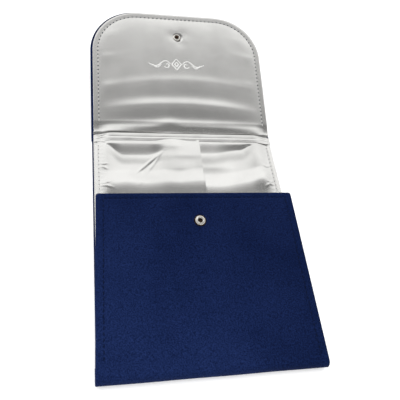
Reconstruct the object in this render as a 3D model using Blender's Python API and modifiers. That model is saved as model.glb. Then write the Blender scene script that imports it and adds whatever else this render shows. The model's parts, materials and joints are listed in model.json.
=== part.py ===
"""Travel jewelry case: a padded two-panel pouch with a snap-down flap.

The case lies open on its back. X runs across it, Y from the bottom fold to the tip of the flap, and Z up.
The back panel is fixed. The front panel turns about the bottom fold and the flap about the fold at its top.
Every panel is a stack: a suede cover that is turned up round the edge, a stiffener board, a foam pad
and a satin lining. Each moving panel is modelled flat, in the frame of an empty that lies on its fold.
"""

import math

import bmesh
import bpy

# Driving dimensions, in metres and radians
CASE_WIDTH = 0.165
BACK_LENGTH = 0.2135  # from the bottom fold to the fold of the flap
FRONT_LENGTH = 0.139  # from the bottom fold to the mouth
FRONT_MOUTH_INSET = 0.0024  # the front narrows towards its mouth, on each side
FLAP_LENGTH = 0.125  # from its fold to its tip
FLAP_CORNER_RADIUS = 0.044
FLAP_REST_ANGLE = math.radians(15.0)
FRONT_REST_ANGLE = math.radians(4.8)

# Layers of a panel, outside to inside, and the clearance between neighbours
SUEDE = 0.0008
BOARD = 0.0010
FOAM = 0.0012
SATIN = 0.0004
GAP = 0.0003

# Folds and pouch
BOTTOM_FOLD_REACH = 0.012  # where the panels' stacks start, from the bottom edge
FLAP_FOLD_HALF = 0.009  # soft length on each side of the flap's fold line
POUCH_DEPTH = 0.0019  # space between the two linings when the case is shut
LINING_INSET = 0.0010
FOLD_STEPS = 10

# Inner pockets, gussets and stitching
POCKET_SIDE_INSET = 0.0050
POCKET_BOTTOM = 0.014
POCKET_TOP = 0.203
POCKET_SPLIT = 0.0125  # the left pocket's free edge, from the middle
POCKET_OVERLAP = 0.0105
GUSSET_INSET = 0.0040
GUSSET_FOOT = 0.020
GUSSET_LEAST_HEIGHT = 0.0004
STITCH_INSET = 0.0058
MOUTH_STITCH_INSET = 0.0042
THREAD_RADIUS = 0.00025
TACK_RADIUS = 0.0007
TACK_HEIGHT = 0.0004
TACK_BEYOND_MOUTH = 0.006

# Snap fastener
FLAP_SNAP_REACH = 0.0987  # from the flap's fold
FRONT_SNAP_REACH = BACK_LENGTH - FLAP_SNAP_REACH
CAP_RADIUS = 0.0060
CAP_HEIGHT = 0.0016
POST_RADIUS = 0.0008
POST_HOLE_RADIUS = 0.0012
STUD_RADIUS = 0.00425
STUD_FLANGE = 0.0005
STUD_KNOB_RADIUS = 0.0016
STUD_KNOB_HEIGHT = 0.0014
SOCKET_RADIUS = 0.0049
SOCKET_HEIGHT = 0.0015
SOCKET_HOLE_RADIUS = 0.00185
SPRING_RADIUS = 0.0026
SPRING_WIRE = 0.00018
EYELET_RADIUS = 0.0021
EYELET_WALL = 0.0003
EYELET_FLANGE_RADIUS = 0.0044
EYELET_FLANGE = 0.0005
EYELET_HOLE_RADIUS = 0.0024
TURNED_STEPS = 32

# Heights of the layers above a panel's outer face
BOARD_LOW = SUEDE + GAP
BOARD_HIGH = BOARD_LOW + BOARD
FOAM_LOW = BOARD_HIGH + GAP
FOAM_HIGH = FOAM_LOW + FOAM
LINING_LOW = FOAM_HIGH + GAP
LINING_HIGH = LINING_LOW + SATIN
RIM_HIGH = LINING_LOW - GAP
HALF_WIDTH = CASE_WIDTH / 2
BOARD_INSET = SUEDE + GAP

# Hinge heights: shut, the flap lies on the socket of the front
FRONT_HINGE_HEIGHT = LINING_HIGH + POUCH_DEPTH / 2
FRONT_SHUT_TOP = 2 * FRONT_HINGE_HEIGHT
STUD_FACE = LINING_HIGH + GAP + STUD_FLANGE
SNAP_CLEARANCE = 0.0002
FLAP_HINGE_HEIGHT = (FRONT_SHUT_TOP + GAP + SOCKET_HEIGHT + SNAP_CLEARANCE + STUD_FACE) / 2

# Place of the case: its middle lies over the origin
OPEN_LENGTH = (
    BACK_LENGTH
    + FLAP_LENGTH * math.cos(FLAP_REST_ANGLE)
    + FLAP_HINGE_HEIGHT * math.sin(FLAP_REST_ANGLE)
)
BOTTOM_Y = -OPEN_LENGTH / 2

COLORS = {
    "suede_navy": ((0.012, 0.030, 0.120, 1.0), 0.90, 0.0),
    "satin_silver": ((0.760, 0.760, 0.740, 1.0), 0.35, 0.0),
    "board_grey": ((0.420, 0.400, 0.370, 1.0), 0.85, 0.0),
    "foam_white": ((0.850, 0.840, 0.800, 1.0), 0.95, 0.0),
    "thread_navy": ((0.008, 0.016, 0.060, 1.0), 0.70, 0.0),
    "thread_white": ((0.700, 0.700, 0.680, 1.0), 0.60, 0.0),
    "snap_nickel": ((0.780, 0.740, 0.660, 1.0), 0.25, 1.0),
}


def clear_scene():
    for obj in list(bpy.data.objects):
        bpy.data.objects.remove(obj, do_unlink=True)


def make_collection(name):
    collection = bpy.data.collections.new(name)
    bpy.context.scene.collection.children.link(collection)
    return collection


def make_materials():
    materials = {}
    for name, (color, roughness, metallic) in COLORS.items():
        material = bpy.data.materials.new(name)
        material.use_nodes = True
        shader = material.node_tree.nodes["Principled BSDF"]
        shader.inputs["Base Color"].default_value = color
        shader.inputs["Roughness"].default_value = roughness
        shader.inputs["Metallic"].default_value = metallic
        material.diffuse_color = color
        materials[name] = material
    return materials


def make_empty(name, parent, location, angle):
    """A frame on a fold: its X axis is the fold, and it is turned by angle about it."""
    empty = bpy.data.objects.new(name, None)
    empty.empty_display_size = 0.02
    empty.location = location
    empty.rotation_euler = (angle, 0.0, 0.0)
    empty.parent = parent
    parts.objects.link(empty)
    return empty


def place(obj, parent, material=None, location=(0.0, 0.0, 0.0)):
    obj.parent = parent
    obj.location = location
    if material is not None:
        own = materials[material].copy()
        own.name = f"{obj.name}_{material}"
        obj.data.materials.clear()
        obj.data.materials.append(own)
    return obj


def rounded_outline(left, right, low, high, radius, steps=12):
    """A rectangle whose two far corners are rounded, as points that run anticlockwise."""
    points = [(left, low), (right, low)]
    if radius <= 0.0:
        return points + [(right, high), (left, high)]
    for center_x, first in ((right - radius, 0.0), (left + radius, math.pi / 2)):
        for step in range(steps + 1):
            angle = first + math.pi / 2 * step / steps
            points.append(
                (center_x + radius * math.cos(angle), high - radius + radius * math.sin(angle))
            )
    return points


def make_plate(name, outline, low, high, collection=None):
    """A flat piece between two heights, from a filled 2D curve with an extrude of half its thickness."""
    curve = bpy.data.curves.new(name, "CURVE")
    curve.dimensions = "2D"
    curve.fill_mode = "BOTH"
    curve.extrude = (high - low) / 2
    spline = curve.splines.new("POLY")
    spline.points.add(len(outline) - 1)
    for point, (x, y) in zip(spline.points, outline):
        point.co = (x, y, 0.0, 1.0)
    spline.use_cyclic_u = True
    drawn = bpy.data.objects.new(f"{name}_outline", curve)
    bpy.context.scene.collection.objects.link(drawn)
    bpy.context.view_layer.update()
    mesh = bpy.data.meshes.new_from_object(drawn.evaluated_get(bpy.context.evaluated_depsgraph_get()))
    bpy.data.objects.remove(drawn, do_unlink=True)
    form = bmesh.new()
    form.from_mesh(mesh)
    bmesh.ops.remove_doubles(form, verts=form.verts, dist=1e-6)
    bmesh.ops.translate(form, verts=form.verts, vec=(0.0, 0.0, (low + high) / 2))
    form.to_mesh(mesh)
    form.free()
    mesh.name = name
    plate = bpy.data.objects.new(name, mesh)
    (collection or parts).objects.link(plate)
    return plate


def cut(obj, cutter):
    """Takes a cutter, which rides on the same fold, away from a piece."""
    cutter.parent = obj.parent
    cutter.hide_render = True
    cutter.display_type = "WIRE"
    boolean = obj.modifiers.new(cutter.name, "BOOLEAN")
    boolean.operation = "DIFFERENCE"
    boolean.solver = "EXACT"
    boolean.object = cutter


def make_hole_cutter(name, radius, reach, low, high):
    bpy.ops.mesh.primitive_cylinder_add(
        vertices=24, radius=radius, depth=high - low, location=(0.0, reach, (low + high) / 2)
    )
    cutter = bpy.context.object
    cutter.name = name
    for collection in list(cutter.users_collection):
        collection.objects.unlink(cutter)
    cutters.objects.link(cutter)
    return cutter


def make_turned(name, profile, cyclic, reach, height, parent, material):
    """A turned piece about a vertical axis. The profile is (radius, height) and runs down its outer side."""
    mesh = bpy.data.meshes.new(name)
    form = bmesh.new()
    points = [form.verts.new((radius, 0.0, z)) for radius, z in profile]
    for start, end in zip(points, points[1:]):
        form.edges.new((start, end))
    if cyclic:
        form.edges.new((points[-1], points[0]))
    form.to_mesh(mesh)
    form.free()
    turned = bpy.data.objects.new(name, mesh)
    parts.objects.link(turned)
    screw = turned.modifiers.new("turn", "SCREW")
    screw.axis = "Z"
    screw.angle = 2 * math.pi
    screw.steps = TURNED_STEPS
    screw.render_steps = TURNED_STEPS
    screw.use_merge_vertices = True
    screw.merge_threshold = 0.00001
    screw.use_smooth_shade = True
    return place(turned, parent, material, (0.0, reach, height))


def make_strip(name, path, width, thickness, parent, material):
    """A bent strip of cloth: a sheet along the (y, z) path of its middle, made solid by Solidify."""
    form = bmesh.new()
    rows = [
        (form.verts.new((-width / 2, y, z)), form.verts.new((width / 2, y, z))) for y, z in path
    ]
    for (near_left, near_right), (far_left, far_right) in zip(rows, rows[1:]):
        form.faces.new((near_left, near_right, far_right, far_left))
    mesh = bpy.data.meshes.new(name)
    form.to_mesh(mesh)
    form.free()
    strip = bpy.data.objects.new(name, mesh)
    parts.objects.link(strip)
    solidify = strip.modifiers.new("thickness", "SOLIDIFY")
    solidify.thickness = thickness
    solidify.offset = 0.0
    solidify.use_even_offset = True
    return place(strip, parent, material)


def make_thread(name, points, height, parent, material):
    curve = bpy.data.curves.new(name, "CURVE")
    curve.dimensions = "3D"
    curve.bevel_depth = THREAD_RADIUS
    curve.bevel_resolution = 1
    curve.use_fill_caps = True
    spline = curve.splines.new("POLY")
    spline.points.add(len(points) - 1)
    for point, (x, y) in zip(spline.points, points):
        point.co = (x, y, height, 1.0)
    thread = bpy.data.objects.new(name, curve)
    parts.objects.link(thread)
    return place(thread, parent, material)


def make_cover(name, outline, recess, parent, flip, hole_radius=None, reach=0.0):
    """A suede cover, turned up round the board. flip is True for the front, whose outer face looks up."""
    low, high = (-RIM_HIGH, 0.0) if flip else (0.0, RIM_HIGH)
    cover = place(make_plate(name, outline, low, high), parent, "suede_navy")
    margin = GAP
    inner = (low - margin, -SUEDE) if flip else (SUEDE, high + margin)
    cut(cover, make_plate(f"{name}_recess", recess, *inner, collection=cutters))
    if hole_radius is not None:
        cut(cover, make_hole_cutter(f"{name}_hole", hole_radius, reach, low - margin, high + margin))
    return cover


def make_layer(name, outline, low, high, parent, material, flip, hole_radius=None, reach=0.0):
    """A board, pad or lining between two heights above the panel's outer face."""
    span = (-high, -low) if flip else (low, high)
    layer = place(make_plate(name, outline, *span), parent, material)
    if hole_radius is not None:
        cut(layer, make_hole_cutter(f"{name}_hole", hole_radius, reach, span[0] - GAP, span[1] + GAP))
    return layer


def panel_outline(low, high, inset, radius=0.0):
    """An outline as wide as the case but for inset on each side."""
    reach = HALF_WIDTH - inset
    return rounded_outline(-reach, reach, low, high, radius)


def front_outline(low, high, inset):
    """The same for the front, which narrows evenly from the bottom fold to the mouth."""

    def reach(y):
        return HALF_WIDTH - inset - FRONT_MOUTH_INSET * (y + FRONT_HINGE_HEIGHT) / FRONT_LENGTH

    return [(-reach(low), low), (reach(low), low), (reach(high), high), (-reach(high), high)]


def build_back(frame):
    """The fixed panel, with its layers and two satin pockets. Returns the height of its top."""
    start, end = BOTTOM_FOLD_REACH, BACK_LENGTH - FLAP_FOLD_HALF
    make_cover(
        "back_outer_cover",
        panel_outline(start, end, 0.0),
        panel_outline(start - GAP, end + GAP, SUEDE),
        frame,
        flip=False,
    )
    inner = panel_outline(start + GAP, end - GAP, BOARD_INSET)
    make_layer("back_stiffener_board", inner, BOARD_LOW, BOARD_HIGH, frame, "board_grey", flip=False)
    make_layer("back_foam_pad", inner, FOAM_LOW, FOAM_HIGH, frame, "foam_white", flip=False)
    lining = panel_outline(start, end, LINING_INSET)
    make_layer("back_satin_lining", lining, LINING_LOW, LINING_HIGH, frame, "satin_silver", flip=False)

    pocket_side = HALF_WIDTH - POCKET_SIDE_INSET
    right = rounded_outline(
        POCKET_SPLIT - POCKET_OVERLAP, pocket_side, POCKET_BOTTOM, POCKET_TOP, 0.0
    )
    left = rounded_outline(-pocket_side, POCKET_SPLIT, POCKET_BOTTOM, POCKET_TOP, 0.0)
    right_low = LINING_HIGH + GAP
    left_low = right_low + SATIN + GAP
    make_layer("right_pocket_panel", right, right_low, right_low + SATIN, frame, "satin_silver", False)
    make_layer("left_pocket_panel", left, left_low, left_low + SATIN, frame, "satin_silver", False)

    for side, sign, top in (("left", -1, left_low + SATIN), ("right", 1, right_low + SATIN)):
        x = sign * (HALF_WIDTH - STITCH_INSET)
        tack_y = FRONT_LENGTH + TACK_BEYOND_MOUTH
        height = top + GAP + THREAD_RADIUS
        seam = [(x, tack_y + 2 * TACK_RADIUS), (x, POCKET_TOP)]
        make_thread(f"{side}_pocket_seam_thread", seam, height, frame, "thread_white")
        knot = [(0.0, TACK_HEIGHT), (TACK_RADIUS, TACK_HEIGHT), (TACK_RADIUS, 0.0), (0.0, 0.0)]
        name = f"{side}_mouth_bar_tack"
        tack = make_turned(name, knot, False, tack_y, top + GAP, frame, "thread_navy")
        tack.location.x = x
    return left_low + SATIN


def build_gussets(frame, floor_height):
    """The two satin side walls of the pouch, which fold away as the front shuts."""
    low = floor_height + GAP
    slope = math.tan(FRONT_REST_ANGLE)

    def front_lining(y):
        return FRONT_HINGE_HEIGHT + POUCH_DEPTH / 2 + (y - FRONT_HINGE_HEIGHT) * slope - GAP

    mouth = FRONT_LENGTH - GAP
    wedge = [
        (GUSSET_FOOT, low),
        (mouth, low),
        (mouth, front_lining(mouth)),
        (GUSSET_FOOT, max(front_lining(GUSSET_FOOT), low + GUSSET_LEAST_HEIGHT)),
    ]
    for side, sign in (("left", -1), ("right", 1)):
        gusset = make_plate(f"{side}_gusset", wedge, -SATIN / 2, SATIN / 2)
        place(gusset, frame, "satin_silver", (sign * (HALF_WIDTH - GUSSET_INSET), 0.0, 0.0))
        gusset.rotation_euler = (math.pi / 2, 0.0, math.pi / 2)


def bottom_fold_path(radius):
    """From the back panel round the bottom fold to the front panel, at one distance from the hinge."""
    run = BOTTOM_FOLD_REACH - FRONT_HINGE_HEIGHT - GAP
    path = [(FRONT_HINGE_HEIGHT + run, FRONT_HINGE_HEIGHT - radius)]
    sweep = math.pi - FRONT_REST_ANGLE
    for step in range(2 * FOLD_STEPS + 1):
        angle = -math.pi / 2 - sweep * step / (2 * FOLD_STEPS)
        path.append(
            (
                FRONT_HINGE_HEIGHT + radius * math.cos(angle),
                FRONT_HINGE_HEIGHT + radius * math.sin(angle),
            )
        )
    last_y, last_z = path[-1]
    path.append(
        (last_y + run * math.cos(FRONT_REST_ANGLE), last_z + run * math.sin(FRONT_REST_ANGLE))
    )
    return path


def flap_fold_path(height):
    """Across the flap's fold at one height. Past the fold line it turns to the flap's angle."""
    path = []
    for step in range(FOLD_STEPS + 1):
        share = 2 * step / FOLD_STEPS - 1
        flat = share * (FLAP_FOLD_HALF - GAP)
        turned = max(share, 0.0)
        angle = FLAP_REST_ANGLE * turned * turned * (3 - 2 * turned)
        drop = height - FLAP_HINGE_HEIGHT
        y = BACK_LENGTH + flat * math.cos(angle) - drop * math.sin(angle)
        z = FLAP_HINGE_HEIGHT + flat * math.sin(angle) + drop * math.cos(angle)
        path.append((y, z))
    return path


def build_folds(frame):
    """The cloth that joins the panels: suede outside and satin inside, at both folds."""
    bottom_cover = FRONT_HINGE_HEIGHT - SUEDE / 2
    bottom_lining = POUCH_DEPTH / 2 + SATIN / 2
    strips = (
        ("bottom_fold_cover", bottom_fold_path(bottom_cover), SUEDE, "suede_navy"),
        ("bottom_fold_lining", bottom_fold_path(bottom_lining), SATIN, "satin_silver"),
        ("flap_fold_cover", flap_fold_path(SUEDE / 2), SUEDE, "suede_navy"),
        ("flap_fold_lining", flap_fold_path(LINING_LOW + SATIN / 2), SATIN, "satin_silver"),
    )
    for name, path, thickness, material in strips:
        width = CASE_WIDTH if thickness == SUEDE else CASE_WIDTH - 2 * LINING_INSET
        make_strip(name, path, width, thickness, frame, material)


def build_flap(frame):
    """The flap, flat in the frame of its fold. The frame's empty is at hinge height."""
    base = make_empty("flap_outer_face", frame, (0.0, 0.0, -FLAP_HINGE_HEIGHT), 0.0)
    radius = FLAP_CORNER_RADIUS

    def outline(inset):
        return panel_outline(FLAP_FOLD_HALF + inset, FLAP_LENGTH - inset, inset, radius - inset)

    outer = panel_outline(FLAP_FOLD_HALF, FLAP_LENGTH, 0.0, radius)
    recess = panel_outline(FLAP_FOLD_HALF - GAP, FLAP_LENGTH - SUEDE, SUEDE, radius - SUEDE)
    hole = POST_HOLE_RADIUS
    reach = FLAP_SNAP_REACH
    make_cover("flap_outer_cover", outer, recess, base, False, hole, reach)
    inner = outline(BOARD_INSET)
    make_layer(
        "flap_stiffener_board", inner, BOARD_LOW, BOARD_HIGH, base, "board_grey", False, hole, reach
    )
    make_layer("flap_foam_pad", inner, FOAM_LOW, FOAM_HIGH, base, "foam_white", False, hole, reach)
    lining = panel_outline(
        FLAP_FOLD_HALF, FLAP_LENGTH - LINING_INSET, LINING_INSET, radius - LINING_INSET
    )
    make_layer(
        "flap_satin_lining", lining, LINING_LOW, LINING_HIGH, base, "satin_silver", False, hole, reach
    )

    stitched = panel_outline(
        FLAP_FOLD_HALF, FLAP_LENGTH - STITCH_INSET, STITCH_INSET, radius - STITCH_INSET
    )
    seam = stitched[1:] + stitched[:1]
    make_thread(
        "flap_seam_thread", seam, LINING_HIGH + GAP + THREAD_RADIUS, base, "thread_white"
    )
    build_cap_and_stud(base)


def build_cap_and_stud(base):
    """The flap's half of the snap: a domed cap outside, with a post that goes up into the stud."""
    rise = 6
    dome = []
    for step in range(rise + 1):
        angle = math.pi / 2 * step / rise
        dome.append((CAP_RADIUS * math.cos(angle), -GAP - CAP_HEIGHT * math.sin(angle)))
    post_top = STUD_FACE + STUD_KNOB_HEIGHT / 2
    cap = [(0.0, post_top), (POST_RADIUS, post_top), (POST_RADIUS, -GAP)] + dome[:-1] + [
        (0.0, -GAP - CAP_HEIGHT)
    ]
    make_turned("flap_snap_cap", cap, False, FLAP_SNAP_REACH, 0.0, base, "snap_nickel")

    knob_top = STUD_FLANGE + STUD_KNOB_HEIGHT
    lip = 0.0002
    stud = [
        (STUD_KNOB_RADIUS - lip, knob_top),
        (STUD_KNOB_RADIUS, knob_top - lip),
        (STUD_KNOB_RADIUS - lip, STUD_FLANGE + lip),
        (STUD_KNOB_RADIUS, STUD_FLANGE),
        (STUD_RADIUS - lip, STUD_FLANGE),
        (STUD_RADIUS, STUD_FLANGE - lip),
        (STUD_RADIUS, 0.0),
        (POST_HOLE_RADIUS - lip / 2, 0.0),
        (POST_HOLE_RADIUS - lip / 2, knob_top),
    ]
    make_turned(
        "flap_snap_stud", stud, True, FLAP_SNAP_REACH, LINING_HIGH + GAP, base, "snap_nickel"
    )


def build_front(frame):
    """The front, shut and flat in the frame of the bottom fold. Its outer face looks up."""
    base = make_empty("front_outer_face", frame, (0.0, 0.0, FRONT_HINGE_HEIGHT), 0.0)
    start = BOTTOM_FOLD_REACH - FRONT_HINGE_HEIGHT
    end = FRONT_LENGTH - FRONT_HINGE_HEIGHT
    reach = FRONT_SNAP_REACH - FRONT_HINGE_HEIGHT
    hole = EYELET_HOLE_RADIUS
    make_cover(
        "front_outer_cover",
        front_outline(start, end, 0.0),
        front_outline(start - GAP, end - SUEDE, SUEDE),
        base,
        True,
        hole,
        reach,
    )
    inner = front_outline(start + GAP, end - BOARD_INSET, BOARD_INSET)
    make_layer(
        "front_stiffener_board", inner, BOARD_LOW, BOARD_HIGH, base, "board_grey", True, hole, reach
    )
    make_layer(
        "front_foam_pad",
        inner,
        FOAM_LOW,
        FOAM_HIGH,
        base,
        "foam_white",
        True,
        EYELET_FLANGE_RADIUS + GAP,
        reach,
    )
    lining = front_outline(start, end - LINING_INSET, LINING_INSET)
    make_layer("front_satin_lining", lining, LINING_LOW, LINING_HIGH, base, "satin_silver", True)

    stitched = front_outline(start, end - MOUTH_STITCH_INSET, STITCH_INSET)
    seam = stitched[1:] + stitched[:1]
    make_thread("front_seam_thread", seam, GAP + THREAD_RADIUS, base, "thread_navy")
    build_socket(base, reach)


def build_socket(base, reach):
    """The front's half of the snap: a ring socket outside, its ring spring, and the eyelet behind."""
    groove_low, groove_high = 0.0004, 0.0011
    groove_radius = SPRING_RADIUS + 3 * SPRING_WIRE
    shoulder = 0.0005
    socket = [
        (SOCKET_HOLE_RADIUS + shoulder / 2, SOCKET_HEIGHT),
        (SOCKET_RADIUS - 2 * shoulder, SOCKET_HEIGHT),
        (SOCKET_RADIUS - shoulder / 2, SOCKET_HEIGHT - shoulder / 2),
        (SOCKET_RADIUS, SOCKET_HEIGHT - 2 * shoulder),
        (SOCKET_RADIUS, 0.0),
        (SOCKET_HOLE_RADIUS, 0.0),
        (SOCKET_HOLE_RADIUS, groove_low),
        (groove_radius, groove_low),
        (groove_radius, groove_high),
        (SOCKET_HOLE_RADIUS, groove_high),
        (SOCKET_HOLE_RADIUS, SOCKET_HEIGHT - shoulder / 2),
    ]
    make_turned("front_snap_socket", socket, True, reach, GAP, base, "snap_nickel")

    bpy.ops.mesh.primitive_torus_add(
        major_radius=SPRING_RADIUS,
        minor_radius=SPRING_WIRE,
        major_segments=TURNED_STEPS,
        minor_segments=8,
    )
    spring = bpy.context.object
    spring.name = "front_snap_ring_spring"
    for collection in list(spring.users_collection):
        collection.objects.unlink(spring)
    parts.objects.link(spring)
    spring.data.name = spring.name
    place(spring, base, "snap_nickel", (0.0, reach, GAP + (groove_low + groove_high) / 2))

    flange_low = -BOARD_HIGH - GAP - EYELET_FLANGE
    bore = EYELET_RADIUS - EYELET_WALL
    eyelet = [
        (bore, 0.0),
        (EYELET_RADIUS, 0.0),
        (EYELET_RADIUS, flange_low + EYELET_FLANGE),
        (EYELET_FLANGE_RADIUS, flange_low + EYELET_FLANGE),
        (EYELET_FLANGE_RADIUS, flange_low),
        (bore, flange_low),
    ]
    make_turned("front_snap_eyelet", eyelet, True, reach, 0.0, base, "snap_nickel")


clear_scene()
parts = make_collection("travel_jewelry_case")
cutters = make_collection("cutters")
materials = make_materials()

case = make_empty("case_frame", None, (0.0, BOTTOM_Y, 0.0), 0.0)
flap_axis = make_empty(
    "flap_hinge_axis", case, (0.0, BACK_LENGTH, FLAP_HINGE_HEIGHT), FLAP_REST_ANGLE
)
front_axis = make_empty(
    "front_hinge_axis", case, (0.0, FRONT_HINGE_HEIGHT, FRONT_HINGE_HEIGHT), FRONT_REST_ANGLE
)
build_gussets(case, build_back(case))
build_folds(case)
build_flap(flap_axis)
build_front(front_axis)
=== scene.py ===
"""Travel jewelry case, lying open: suede covers, rippled satin linings, stitching and a snap fastener.

Three flat frames carry the shapes, in metres. Each has x across and z above a panel's outer face. y runs from
the bottom edge on the back and on the front, and from the fold on the flap. Each piece is made in one of them
and then placed with that frame's matrix.
"""

import json
import math
from math import pi

import bmesh
import bpy
import numpy as np
from mathutils import Matrix, Vector


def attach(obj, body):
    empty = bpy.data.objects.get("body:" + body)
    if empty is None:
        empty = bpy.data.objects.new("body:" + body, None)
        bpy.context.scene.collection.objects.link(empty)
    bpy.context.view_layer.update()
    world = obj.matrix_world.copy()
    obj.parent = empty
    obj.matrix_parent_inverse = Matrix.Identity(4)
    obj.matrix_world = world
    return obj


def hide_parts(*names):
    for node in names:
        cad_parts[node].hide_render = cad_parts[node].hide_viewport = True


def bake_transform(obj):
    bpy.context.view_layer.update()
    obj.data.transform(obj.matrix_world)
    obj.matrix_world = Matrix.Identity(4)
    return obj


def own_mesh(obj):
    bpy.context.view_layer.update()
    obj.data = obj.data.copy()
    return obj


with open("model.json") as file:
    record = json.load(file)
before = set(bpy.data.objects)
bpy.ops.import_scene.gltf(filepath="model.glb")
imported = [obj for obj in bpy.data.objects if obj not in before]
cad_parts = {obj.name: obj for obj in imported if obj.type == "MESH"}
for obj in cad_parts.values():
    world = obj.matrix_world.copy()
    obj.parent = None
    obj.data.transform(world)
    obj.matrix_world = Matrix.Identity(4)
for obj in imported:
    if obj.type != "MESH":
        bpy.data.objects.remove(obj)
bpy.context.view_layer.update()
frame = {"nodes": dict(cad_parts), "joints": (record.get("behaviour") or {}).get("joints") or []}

MM = 0.001

# What the frame says: joints, widths and the heights of the layers
joints = {joint["name"]: joint for joint in frame["joints"]}
flap_hinge = Vector(joints["flap_hinge"]["pos_m"])
front_hinge = Vector(joints["front_hinge"]["pos_m"])
FLAP_ANGLE = math.radians(180 - joints["flap_hinge"]["range_deg"][1])
FRONT_ANGLE = math.radians(-joints["front_hinge"]["range_deg"][0])
BOTTOM_Y = front_hinge.y - front_hinge.z
BACK_LENGTH = flap_hinge.y - BOTTOM_Y
FOLD_RADIUS = front_hinge.z

BACK = Matrix.Translation((0.0, BOTTOM_Y, 0.0))
FLAP = (
    Matrix.Translation(flap_hinge)
    @ Matrix.Rotation(FLAP_ANGLE, 4, "X")
    @ Matrix.Translation((0.0, 0.0, -flap_hinge.z))
)
FRONT = (
    Matrix.Translation(front_hinge)
    @ Matrix.Rotation(FRONT_ANGLE, 4, "X")
    @ Matrix.Translation((0.0, -FOLD_RADIUS, FOLD_RADIUS))
)


def node_box(node, placing):
    """Lowest and highest corner of a CAD node, in one of the flat frames."""
    inverse = placing.inverted()
    points = np.array([inverse @ v.co for v in frame["nodes"][node].data.vertices])
    return points.min(0), points.max(0)


back_low, back_high = node_box("back_outer_cover", BACK)
flap_high = node_box("flap_outer_cover", FLAP)[1]
front_high = node_box("front_outer_cover", FRONT)[1]
lining_low, lining_high = node_box("back_satin_lining", BACK)
left_low, left_high = node_box("left_pocket_panel", BACK)
right_low, right_high = node_box("right_pocket_panel", BACK)
stud_low, stud_high = node_box("flap_snap_stud", FLAP)
socket_low, socket_high = node_box("front_snap_socket", FRONT)
tack_low, tack_high = node_box("left_mouth_bar_tack", BACK)

HALF_WIDTH = back_high[0]
RIM_HEIGHT = back_high[2]
FLAP_LENGTH = flap_high[1]
FRONT_LENGTH = front_high[1]
LINING_TOP = lining_high[2]
STUD_REACH = (stud_low[1] + stud_high[1]) / 2
SOCKET_REACH = (socket_low[1] + socket_high[1]) / 2

# Outlines and seams
FLAP_RADIUS = 44 * MM
FRONT_MOUTH_INSET = 2.4 * MM  # the front narrows towards its mouth, on each side
BACK_NARROWER = 0.6 * MM  # than the flap, on each side
STITCH_INSET = 5.8 * MM
MOUTH_STITCH_INSET = 4.2 * MM
STITCH_PITCH = 4.0 * MM
STITCH_LENGTH = 3.0 * MM
POCKET_SIDE = HALF_WIDTH - right_high[0]
FOLD_LENGTH = 9 * MM  # from the flap's fold line to where the open flap is straight

# Cloth
SUEDE = 0.6 * MM
SUEDE_ROUNDING = 0.9 * MM
TURNED_EDGE = RIM_HEIGHT + 0.2 * MM
TURN_IN = 3.6 * MM  # how far the turned edge is drawn
SATIN = 0.35 * MM
SATIN_INSET = 1 * MM
SATIN_SHIFT = 1.1 * MM  # the flap's satin lies a little to the right
LINING_SHIFT = 0.8 * MM  # the back's satin starts a little further in on the left
HEM_START = 200.3 * MM
HEM_END = 208.0 * MM
POCKET_RISE = 2.7  # mm
GUSSET_START = 20 * MM

ORNAMENT_X = -2.0 * MM
ORNAMENT_Y = 68.5 * MM


# -------- small tools


def smooth(share):
    share = np.clip(share, 0.0, 1.0)
    return share * share * (3 - 2 * share)


def hump(distance, width):
    return np.exp(-((distance / width) ** 2))


def ridge(distance, near, far):
    """A rounded fold across the way, near wide on its side towards the fold line and far wide beyond it."""
    return np.exp(-((distance / np.where(distance < 0, near, far)) ** 2))


def soft_rise(value, start, end):
    """A straight slope from 0 to 1 with eased ends."""
    share = np.clip((value - start) / (end - start), 0.0, 1.0)
    return 0.6 * share + 0.4 * smooth(share)


def drift(x, y, size, seed):
    """An irregular smooth height between about -1 and 1, whose waves are about size long."""
    random = np.random.default_rng(seed)
    total = 0.0
    for _ in range(7):
        angle = random.uniform(0, pi)
        length = size * random.uniform(0.7, 1.5)
        phase = random.uniform(0, 2 * pi)
        total = total + np.sin(2 * pi * (x * math.cos(angle) + y * math.sin(angle)) / length + phase)
    return total / 3.5


def spaced(low, high, coarse, fine, margin):
    """Positions from low to high, fine within margin of both ends and coarse between."""
    near = np.arange(low, low + margin, fine)
    far = high - np.arange(0.0, margin, fine)[::-1]
    count = max(int(round((far[0] - near[-1]) / coarse)), 2)
    return np.concatenate([near[:-1], np.linspace(near[-1], far[0], count), far[1:]])


def runs(*stretches):
    """Positions over several stretches, each given as (start, end, step)."""
    return np.concatenate([np.arange(*stretch) for stretch in stretches])


def stacked(x, y, z):
    """Coordinates as one list of points."""
    return np.stack([x.ravel(), y.ravel(), z.ravel()], 1)


def line_distance(x, y, points):
    """Distance to a line of points, and how far along it the nearest place is, from 0 to 1."""
    best = np.full(np.shape(x), 1e9)
    along = np.zeros(np.shape(x))
    lengths = [math.dist(a, b) for a, b in zip(points, points[1:])]
    passed = 0.0
    for (ax, ay), (bx, by), length in zip(points, points[1:], lengths):
        share = np.clip(((x - ax) * (bx - ax) + (y - ay) * (by - ay)) / length**2, 0, 1)
        distance = np.hypot(x - ax - share * (bx - ax), y - ay - share * (by - ay))
        closer = distance < best
        best = np.where(closer, distance, best)
        along = np.where(closer, (passed + share * length) / sum(lengths), along)
        passed += length
    return best, along


def crease(x, y, points, width, height):
    """A fold of cloth along a line of points, which dies out at both ends. All sizes are in mm."""
    distance, along = line_distance(x, y, [(a * MM, b * MM) for a, b in points])
    return height * MM * hump(distance, width * MM) * np.sin(pi * np.clip(along, 0.02, 0.98)) ** 0.7


def put(name, data):
    """A new object in the scene."""
    obj = bpy.data.objects.new(name, data)
    bpy.context.scene.collection.objects.link(obj)
    return obj


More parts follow.
